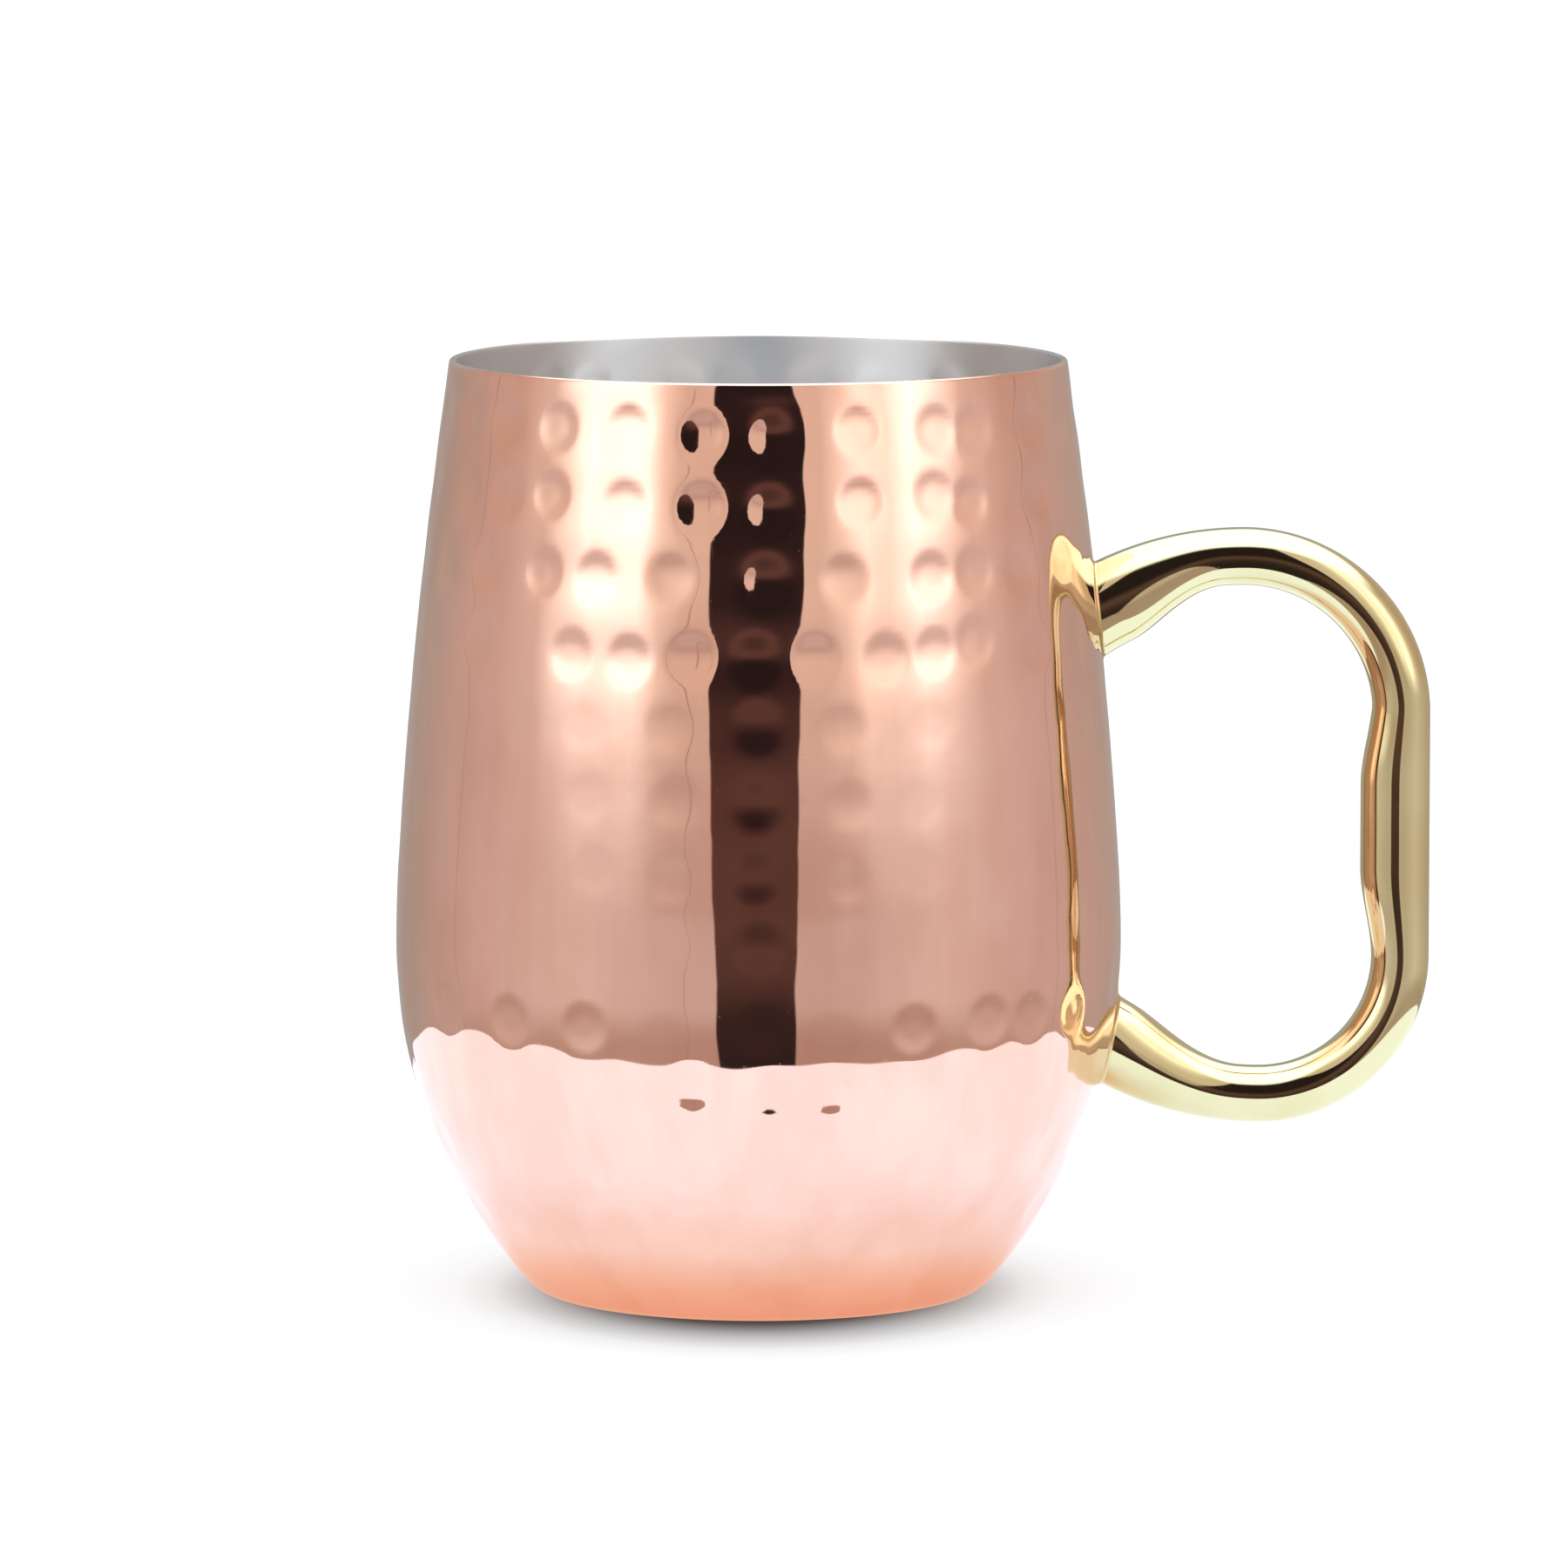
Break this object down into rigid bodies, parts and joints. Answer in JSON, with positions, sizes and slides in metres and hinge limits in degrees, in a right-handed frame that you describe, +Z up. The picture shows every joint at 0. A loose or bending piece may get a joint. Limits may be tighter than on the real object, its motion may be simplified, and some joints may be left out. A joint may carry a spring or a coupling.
{
  "type": "copper mug",
  "caption": "Barrel-shaped hammered copper drinking mug with a plain steel liner and a D-shaped cast brass handle brazed to its side.",
  "frame": {"origin": "centre of the flat base, on the body's axis, where the mug meets the table", "axes": "+Z up the body's axis to the rim; +X from the axis towards the handle; the mug is symmetric about the XZ plane"},
  "size_m": [0.1254, 0.088, 0.1134],
  "materials": {
    "copper": null,
    "steel": "stainless steel, satin, with the hammering showing through faintly",
    "brass": "cast and polished bright",
    "braze": "brazing filler, wiped smooth"
  },
  "bodies": {
    "root": {"outer_shell": "copper", "liner": "steel", "handle": "brass", "upper_braze": "braze", "lower_braze": "braze"}
  },
  "joints": []
}
